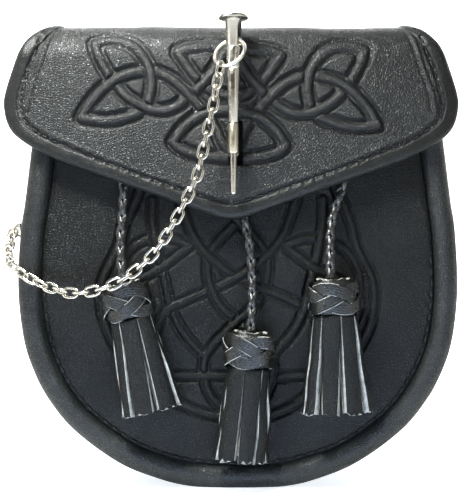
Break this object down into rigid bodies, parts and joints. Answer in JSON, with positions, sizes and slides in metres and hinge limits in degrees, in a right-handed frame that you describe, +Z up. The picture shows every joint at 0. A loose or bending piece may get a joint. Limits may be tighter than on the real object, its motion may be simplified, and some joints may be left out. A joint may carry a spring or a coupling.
{
  "type": "sporran pouch",
  "caption": "Black leather belt pouch with an embossed flap, a pin closure on a chain, and tassels on braided cords.",
  "frame": {"origin": "on the outer face of the back panel, midway between the two belt loops and at their mid height, where the belt holds the pouch", "axes": "+Z up, +Y towards the wearer (out of the back), +X to the right seen from the front, so the front faces -Y"},
  "size_m": [0.2027, 0.072, 0.207],
  "materials": {
    "grained_leather": "semi-gloss pebbled black leather, embossed",
    "smooth_leather": "semi-gloss soft black leather",
    "braided_leather": "glossy black braided leather",
    "tassel_leather": "semi-gloss black leather with pale grey cut edges",
    "nickel": "polished nickel plate",
    "nickel_satin": "polished nickel plate, slightly warm"
  },
  "bodies": {
    "root": {"gusset": "smooth_leather", "front_panel": "grained_leather", "back_panel": "grained_leather", "flap": "grained_leather", "flap_binding": "smooth_leather", "belt_loop_left": "smooth_leather", "belt_loop_right": "smooth_leather", "pin": "nickel", "pin_keeper": "nickel_satin", "pin_ring": "nickel", "chain_link_01": "nickel", "chain_link_02": "nickel", "chain_link_03": "nickel", "chain_link_04": "nickel", "chain_link_05": "nickel", "chain_link_06": "nickel", "chain_link_07": "nickel", "chain_link_08": "nickel", "chain_link_09": "nickel", "chain_link_10": "nickel", "chain_link_11": "nickel", "chain_link_12": "nickel", "chain_link_13": "nickel", "chain_link_14": "nickel", "chain_link_15": "nickel", "chain_link_16": "nickel", "chain_link_17": "nickel", "chain_link_18": "nickel", "chain_link_19": "nickel", "chain_link_20": "nickel", "chain_link_21": "nickel", "chain_link_22": "nickel", "chain_link_23": "nickel", "chain_link_24": "nickel", "chain_link_25": "nickel", "chain_link_26": "nickel", "chain_link_27": "nickel", "chain_link_28": "nickel", "chain_link_29": "nickel", "chain_link_30": "nickel", "chain_link_31": "nickel", "chain_link_32": "nickel", "chain_link_33": "nickel", "chain_link_34": "nickel", "chain_link_35": "nickel", "chain_link_36": "nickel", "chain_link_37": "nickel", "chain_staple": "nickel", "tassel_cord_left": "braided_leather", "tassel_anchor_left": "braided_leather", "tassel_head_left": "tassel_leather", "tassel_fringe_left": "tassel_leather", "tassel_cord_middle": "braided_leather", "tassel_anchor_middle": "braided_leather", "tassel_head_middle": "tassel_leather", "tassel_fringe_middle": "tassel_leather", "tassel_cord_right": "braided_leather", "tassel_anchor_right": "braided_leather", "tassel_head_right": "tassel_leather", "tassel_fringe_right": "tassel_leather"}
  },
  "joints": []
}
